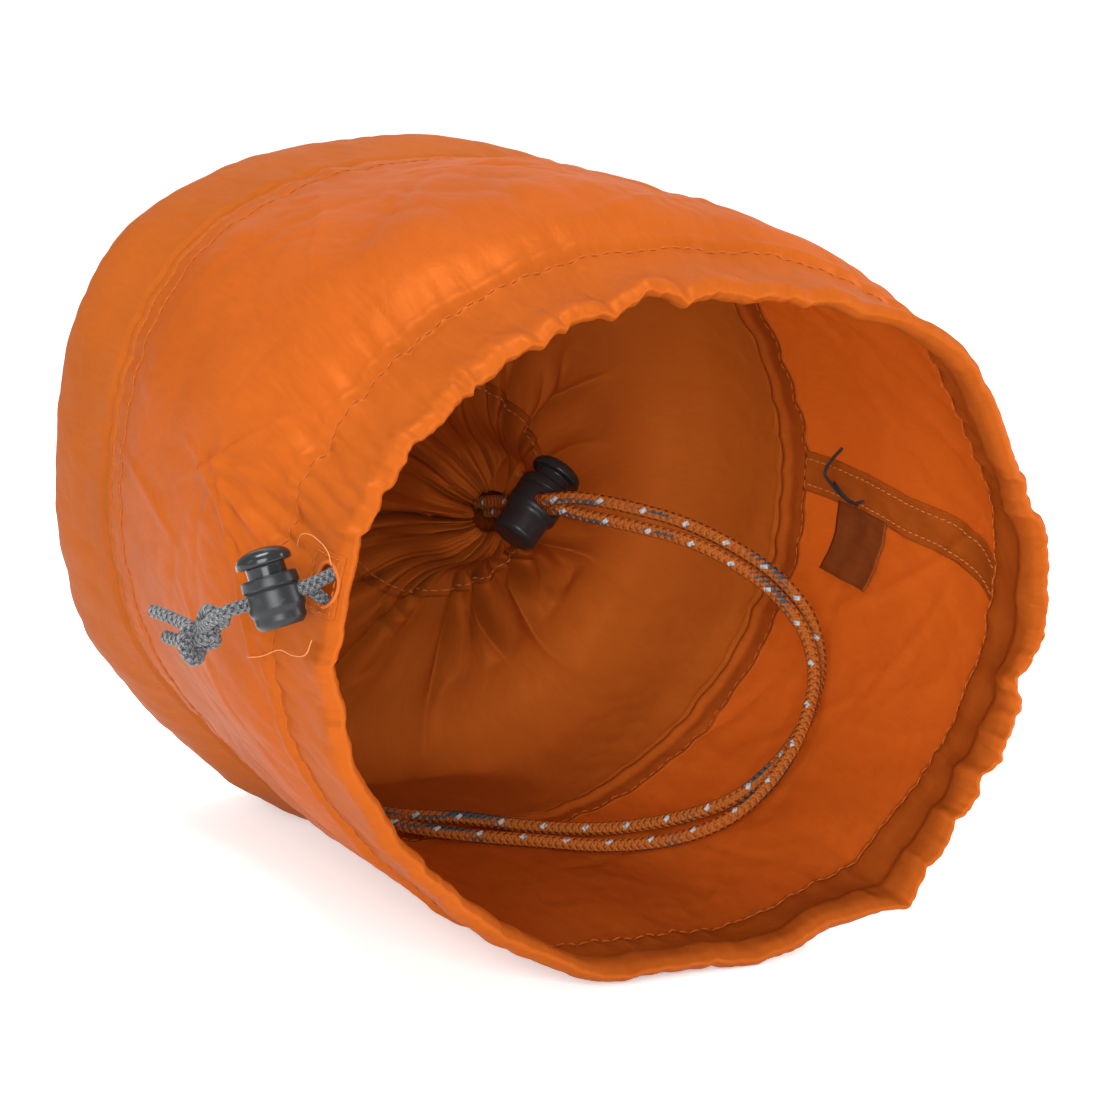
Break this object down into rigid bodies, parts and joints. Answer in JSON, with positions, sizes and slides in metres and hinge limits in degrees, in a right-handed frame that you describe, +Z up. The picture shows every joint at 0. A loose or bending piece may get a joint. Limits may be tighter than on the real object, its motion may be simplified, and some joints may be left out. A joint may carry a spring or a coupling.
{
  "type": "drawcord stuff sack",
  "caption": "Thin nylon stuff sack lying on its side, open mouth with drawcord and cord lock, gathered far end with a second cord and lock inside.",
  "frame": {"origin": "middle of the sack's box in plan, at the height of the surface it lies on", "axes": "+Z up, the sack's axis along Y with its mouth facing -Y"},
  "size_m": [0.2191, 0.2106, 0.1851],
  "materials": {
    "sack_nylon": "thin satin woven nylon",
    "label_tape": "matte woven tape",
    "grey_cord": "salt and pepper braid",
    "end_cord": "braid with charcoal patches and pale flecks",
    "lock_plastic": "moulded, lightly textured",
    "button_plastic": "moulded, glossy",
    "spring_steel": "bright wire"
  },
  "bodies": {
    "sack": {"body_tube": "sack_nylon", "mouth_hem": "sack_nylon", "exit_patch": "sack_nylon", "side_seam_band": "sack_nylon", "end_seam_band": "sack_nylon", "end_sleeve": "sack_nylon", "end_hem": "sack_nylon", "care_label": "label_tape", "mouth_cord_ring": "grey_cord", "mouth_cord_strand_a": "grey_cord", "mouth_cord_strand_b": "grey_cord", "mouth_cord_knot": "grey_cord", "mouth_cord_tail_a": "grey_cord", "mouth_cord_tail_b": "grey_cord", "end_cord_ring": "end_cord", "end_cord_strand_a": "end_cord", "end_cord_strand_b": "end_cord", "end_cord_knot": "end_cord", "end_cord_tail_a": "end_cord", "end_cord_tail_b": "end_cord"},
    "mouth_lock": {"mouth_lock_barrel": "lock_plastic", "mouth_lock_spring": "spring_steel"},
    "mouth_button": {"mouth_lock_plunger": "button_plastic"},
    "end_lock": {"end_lock_barrel": "lock_plastic", "end_lock_spring": "spring_steel"},
    "end_button": {"end_lock_plunger": "button_plastic"}
  },
  "joints": [
    {"name": "mouth_lock_slide", "type": "slide", "parent": "sack", "child": "mouth_lock", "axis": [-0.9146, 0.2883, -0.2835], "range_m": [-0.0004, 0.003]},
    {"name": "mouth_button_press", "type": "slide", "parent": "mouth_lock", "child": "mouth_button", "axis": [0.1992, -0.2889, -0.9364], "range_m": [0, 0.0022], "stiffness_N_per_m": 900, "springref_m": -0.0015, "deforming": ["mouth_lock_spring"]},
    {"name": "end_lock_slide", "type": "slide", "parent": "sack", "child": "end_lock", "axis": [-0.123, 0.9765, -0.177], "range_m": [-0.001, 0.015]},
    {"name": "end_button_press", "type": "slide", "parent": "end_lock", "child": "end_button", "axis": [-0.6788, -0.2129, -0.7028], "range_m": [0, 0.0028], "stiffness_N_per_m": 900, "springref_m": -0.0015, "deforming": ["end_lock_spring"]}
  ]
}
